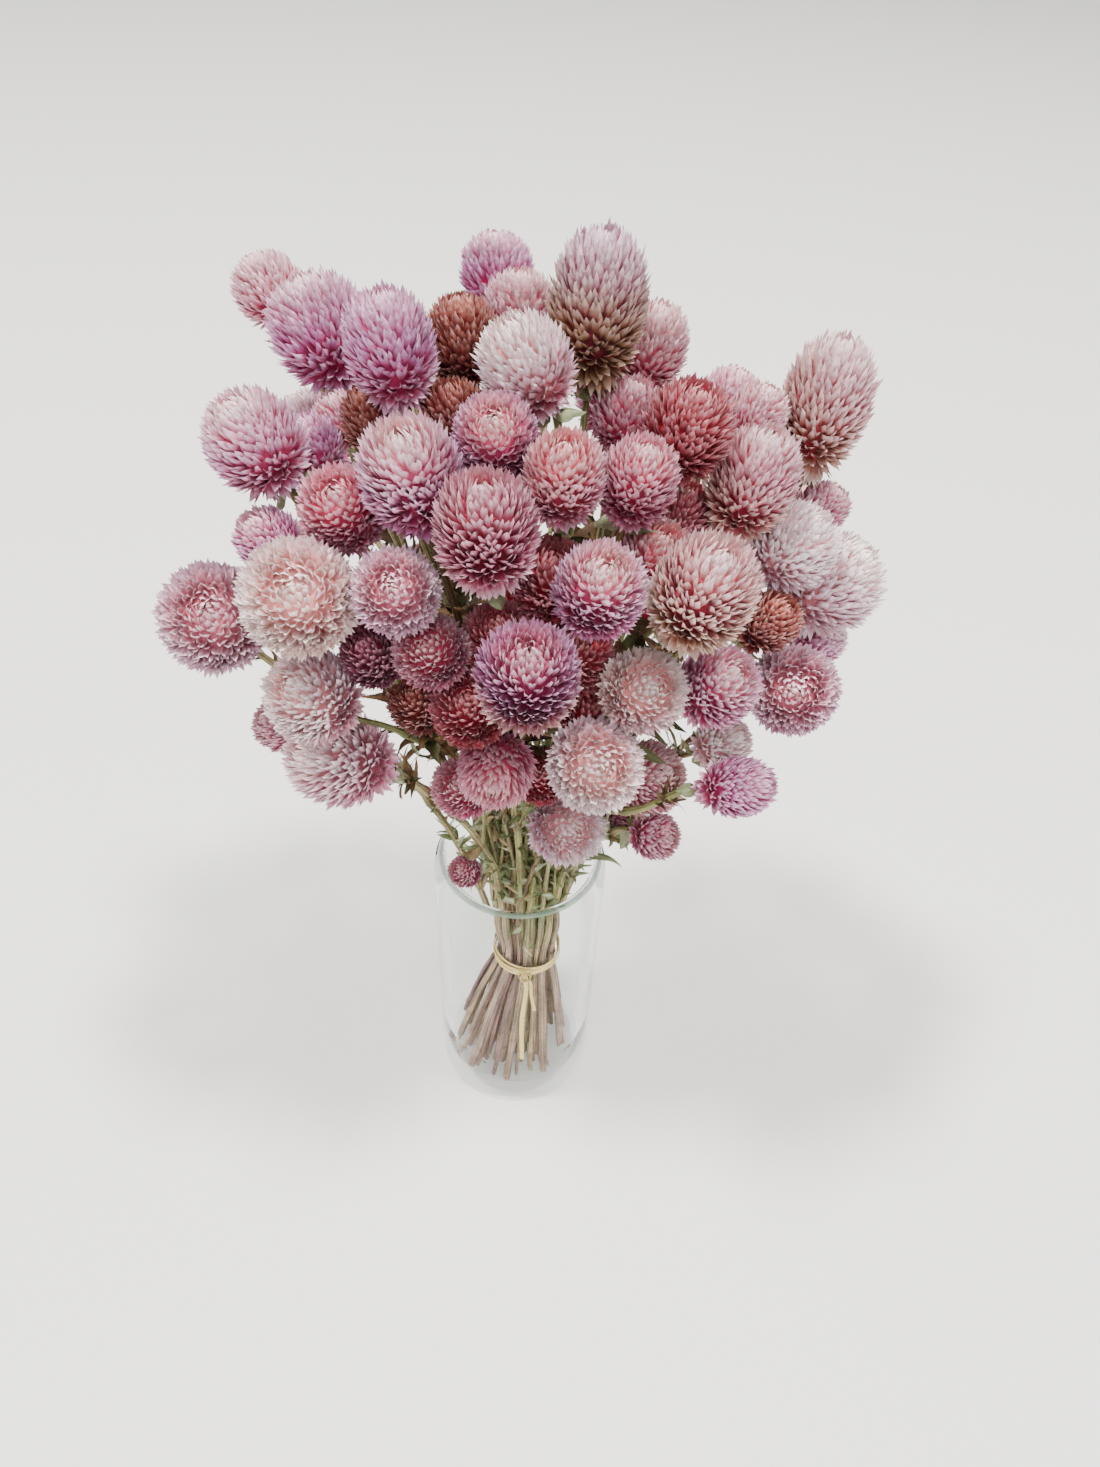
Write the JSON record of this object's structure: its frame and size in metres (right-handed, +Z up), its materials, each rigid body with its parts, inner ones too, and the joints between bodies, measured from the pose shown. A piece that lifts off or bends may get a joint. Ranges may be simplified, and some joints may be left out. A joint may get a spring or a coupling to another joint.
{
  "type": "dried globe amaranth in vase",
  "caption": "Full rounded bunch of dried rose and lilac globe amaranth, tied with raffia, standing in a straight clear glass vase.",
  "frame": {"origin": "middle of the vase's flat foot, on the surface it stands on", "axes": "+Z up along the vase; -Y the side that faces the viewer; +X to the viewer's right"},
  "size_m": [0.181, 0.1572, 0.327],
  "materials": {
    "clear_glass": "gloss",
    "raffia": "matte",
    "dry_stem": "matte",
    "flower_bracts": "matte"
  },
  "bodies": {
    "root": {"flower_head_01": "flower_bracts", "flower_head_02": "flower_bracts", "flower_head_03": "flower_bracts", "flower_head_04": "flower_bracts", "flower_head_05": "flower_bracts", "flower_head_06": "flower_bracts", "flower_head_07": "flower_bracts", "flower_head_08": "flower_bracts", "flower_head_09": "flower_bracts", "flower_head_10": "flower_bracts", "flower_head_11": "flower_bracts", "flower_head_12": "flower_bracts", "flower_head_13": "flower_bracts", "flower_head_14": "flower_bracts", "flower_head_15": "flower_bracts", "flower_head_16": "flower_bracts", "flower_head_17": "flower_bracts", "flower_head_18": "flower_bracts", "flower_head_19": "flower_bracts", "flower_head_20": "flower_bracts", "flower_head_21": "flower_bracts", "flower_head_22": "flower_bracts", "flower_head_23": "flower_bracts", "flower_head_24": "flower_bracts", "flower_head_25": "flower_bracts", "flower_head_26": "flower_bracts", "flower_head_27": "flower_bracts", "flower_head_28": "flower_bracts", "leafy_stem_01": "dry_stem", "leafy_stem_02": "dry_stem", "leafy_stem_03": "dry_stem", "leafy_stem_04": "dry_stem", "leafy_stem_05": "dry_stem", "leafy_stem_06": "dry_stem", "leafy_stem_07": "dry_stem", "leafy_stem_08": "dry_stem", "leafy_stem_09": "dry_stem", "leafy_stem_10": "dry_stem", "leafy_stem_11": "dry_stem", "leafy_stem_12": "dry_stem", "leafy_stem_13": "dry_stem", "leafy_stem_14": "dry_stem", "leafy_stem_15": "dry_stem", "leafy_stem_16": "dry_stem", "leafy_stem_17": "dry_stem", "leafy_stem_18": "dry_stem", "leafy_stem_19": "dry_stem", "leafy_stem_20": "dry_stem", "leafy_stem_21": "dry_stem", "leafy_stem_22": "dry_stem", "leafy_stem_23": "dry_stem", "leafy_stem_24": "dry_stem", "leafy_stem_25": "dry_stem", "leafy_stem_26": "dry_stem", "leafy_stem_27": "dry_stem", "leafy_stem_28": "dry_stem", "raffia_tie": "raffia", "vase": "clear_glass"}
  },
  "joints": []
}
